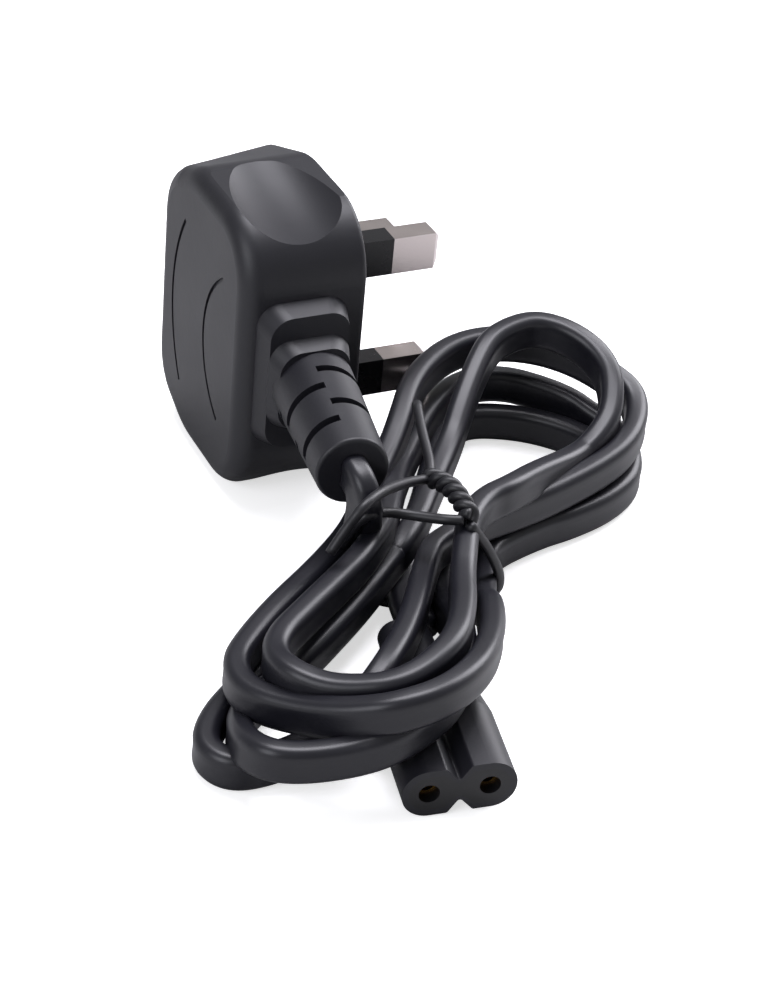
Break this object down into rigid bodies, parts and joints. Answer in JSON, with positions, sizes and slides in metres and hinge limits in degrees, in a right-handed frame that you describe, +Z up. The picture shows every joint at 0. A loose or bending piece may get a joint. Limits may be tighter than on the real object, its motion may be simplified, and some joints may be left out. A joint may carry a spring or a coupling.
{
  "type": "mains power lead",
  "caption": "Black two-core mains power lead: moulded three-pin plug, flat cord in a tied hank and figure-eight socket connector.",
  "frame": {"origin": "on the floor under the middle of the plug, which stands on its side; cord, tie and connector aren't counted", "axes": "+X the way the plug's pins point, +Y towards the earth pin's end, +Z up"},
  "size_m": [0.0997, 0.1244, 0.0486],
  "materials": {
    "black_pvc": "satin",
    "black_nylon": "satin",
    "cord_pvc": "satin",
    "sleeve_plastic": "gloss",
    "tie_plastic": "gloss",
    "nickel_brass": "satin",
    "contact_brass": "satin",
    "fuse_metal": "satin",
    "fuse_ceramic": "satin",
    "brown_pvc": "satin",
    "blue_pvc": "satin"
  },
  "bodies": {
    "lead": {"plug_body": "black_pvc", "pin_bridge": "black_nylon", "earth_pin": "nickel_brass", "live_pin": "nickel_brass", "neutral_pin": "nickel_brass", "live_pin_sleeve": "sleeve_plastic", "neutral_pin_sleeve": "sleeve_plastic", "fuse_clip_live": "contact_brass", "fuse_clip_load": "contact_brass", "brown_crimp": "contact_brass", "blue_crimp": "contact_brass", "plug_sheath_end": "cord_pvc", "plug_brown_core": "brown_pvc", "plug_blue_core": "blue_pvc", "connector_body": "black_pvc", "connector_insert": "black_nylon", "contact_live": "contact_brass", "contact_neutral": "contact_brass", "connector_sheath_end": "cord_pvc", "connector_brown_core": "brown_pvc", "connector_blue_core": "blue_pvc", "cord_from_plug": "cord_pvc", "cord_hank": "cord_pvc", "cord_to_connector": "cord_pvc", "cord_tie": "tie_plastic"},
    "fuse_drawer": {"fuse_carrier": "black_nylon", "fuse_tube": "fuse_ceramic", "fuse_cap_live": "fuse_metal", "fuse_cap_load": "fuse_metal"}
  },
  "joints": [
    {"name": "fuse_slide", "type": "slide", "parent": "lead", "child": "fuse_drawer", "axis": [1, 0, 0], "range_m": [0, 0.012]}
  ]
}
